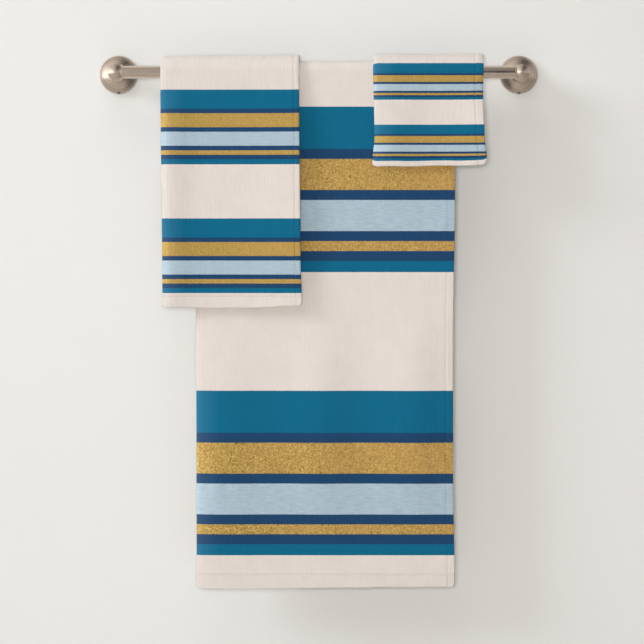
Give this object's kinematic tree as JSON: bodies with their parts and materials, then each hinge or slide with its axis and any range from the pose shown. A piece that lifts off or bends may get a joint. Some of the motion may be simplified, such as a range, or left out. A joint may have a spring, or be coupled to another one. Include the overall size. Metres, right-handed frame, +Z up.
{
  "type": "bath towel set on a wall towel bar",
  "caption": "Bath towel, hand towel and washcloth, each folded lengthwise and draped over a round wall-mounted towel bar with domed brackets.",
  "frame": {"origin": "on the wall's surface, midway between the two wall plates, at the height of the bar's axis", "axes": "+X along the bar to the right as seen from the room, +Y into the wall, +Z up"},
  "size_m": [0.6676, 0.133, 0.805],
  "materials": {
    "brushed_nickel": "brushed nickel",
    "zinc_plate": "plain die-cast zinc",
    "steel_screws": "zinc-plated steel",
    "towel_cloth": "ribbed cotton and polyester towelling, cream with teal, navy, gold and light blue stripes",
    "towel_thread": "spun sewing thread"
  },
  "bodies": {
    "brackets": {"wall_plate_left": "zinc_plate", "wall_screws_left": "steel_screws", "wall_cover_left": "brushed_nickel", "post_left": "brushed_nickel", "post_screw_left": "steel_screws", "grub_screw_left": "steel_screws", "wall_plate_right": "zinc_plate", "wall_screws_right": "steel_screws", "wall_cover_right": "brushed_nickel", "post_right": "brushed_nickel", "post_screw_right": "steel_screws", "grub_screw_right": "steel_screws"},
    "bar": {"towel_bar": "brushed_nickel"},
    "bath_towel": {"bath_towel_back": "towel_cloth", "bath_towel_front": "towel_cloth", "bath_towel_back_hem": "towel_cloth", "bath_towel_side_hem": "towel_cloth", "bath_towel_stitching": "towel_thread"},
    "bath_towel_bottom": {"bath_towel_lower_front": "towel_cloth", "bath_towel_front_hem": "towel_cloth", "bath_towel_lower_side_hem": "towel_cloth", "bath_towel_lower_stitching": "towel_thread"},
    "hand_towel": {"hand_towel_back": "towel_cloth", "hand_towel_back_hem": "towel_cloth", "hand_towel_back_side_hem": "towel_cloth", "hand_towel_back_stitching": "towel_thread"},
    "hand_towel_drop": {"hand_towel_front": "towel_cloth", "hand_towel_front_hem": "towel_cloth", "hand_towel_front_side_hem": "towel_cloth", "hand_towel_front_stitching": "towel_thread"},
    "washcloth": {"washcloth_back": "towel_cloth", "washcloth_back_hem": "towel_cloth", "washcloth_back_side_hem": "towel_cloth", "washcloth_back_stitching": "towel_thread"},
    "washcloth_drop": {"washcloth_front": "towel_cloth", "washcloth_front_hem": "towel_cloth", "washcloth_front_side_hem": "towel_cloth", "washcloth_front_stitching": "towel_thread"}
  },
  "joints": [
    {"name": "bar_turn", "type": "hinge", "parent": "brackets", "child": "bar", "pos_m": [0, -0.07, 0], "axis": [1, 0, 0], "continuous": true},
    {"name": "bath_towel_slide", "type": "slide", "parent": "brackets", "child": "bath_towel", "axis": [1, 0, 0], "range_m": [-0.1, 0.08]},
    {"name": "hand_towel_slide", "type": "slide", "parent": "brackets", "child": "hand_towel", "axis": [1, 0, 0], "range_m": [-0.05, 0.052]},
    {"name": "washcloth_slide", "type": "slide", "parent": "brackets", "child": "washcloth", "axis": [1, 0, 0], "range_m": [-0.052, 0.036]},
    {"name": "bath_towel_lift", "type": "hinge", "parent": "bath_towel", "child": "bath_towel_bottom", "pos_m": [0, -0.0829, -0.375], "axis": [-1, 0, 0], "range_deg": [0, 85]},
    {"name": "hand_towel_lift", "type": "hinge", "parent": "hand_towel", "child": "hand_towel_drop", "pos_m": [0, -0.07, 0], "axis": [-1, 0, 0], "range_deg": [0, 85]},
    {"name": "washcloth_lift", "type": "hinge", "parent": "washcloth", "child": "washcloth_drop", "pos_m": [0, -0.07, 0], "axis": [-1, 0, 0], "range_deg": [0, 85]}
  ]
}
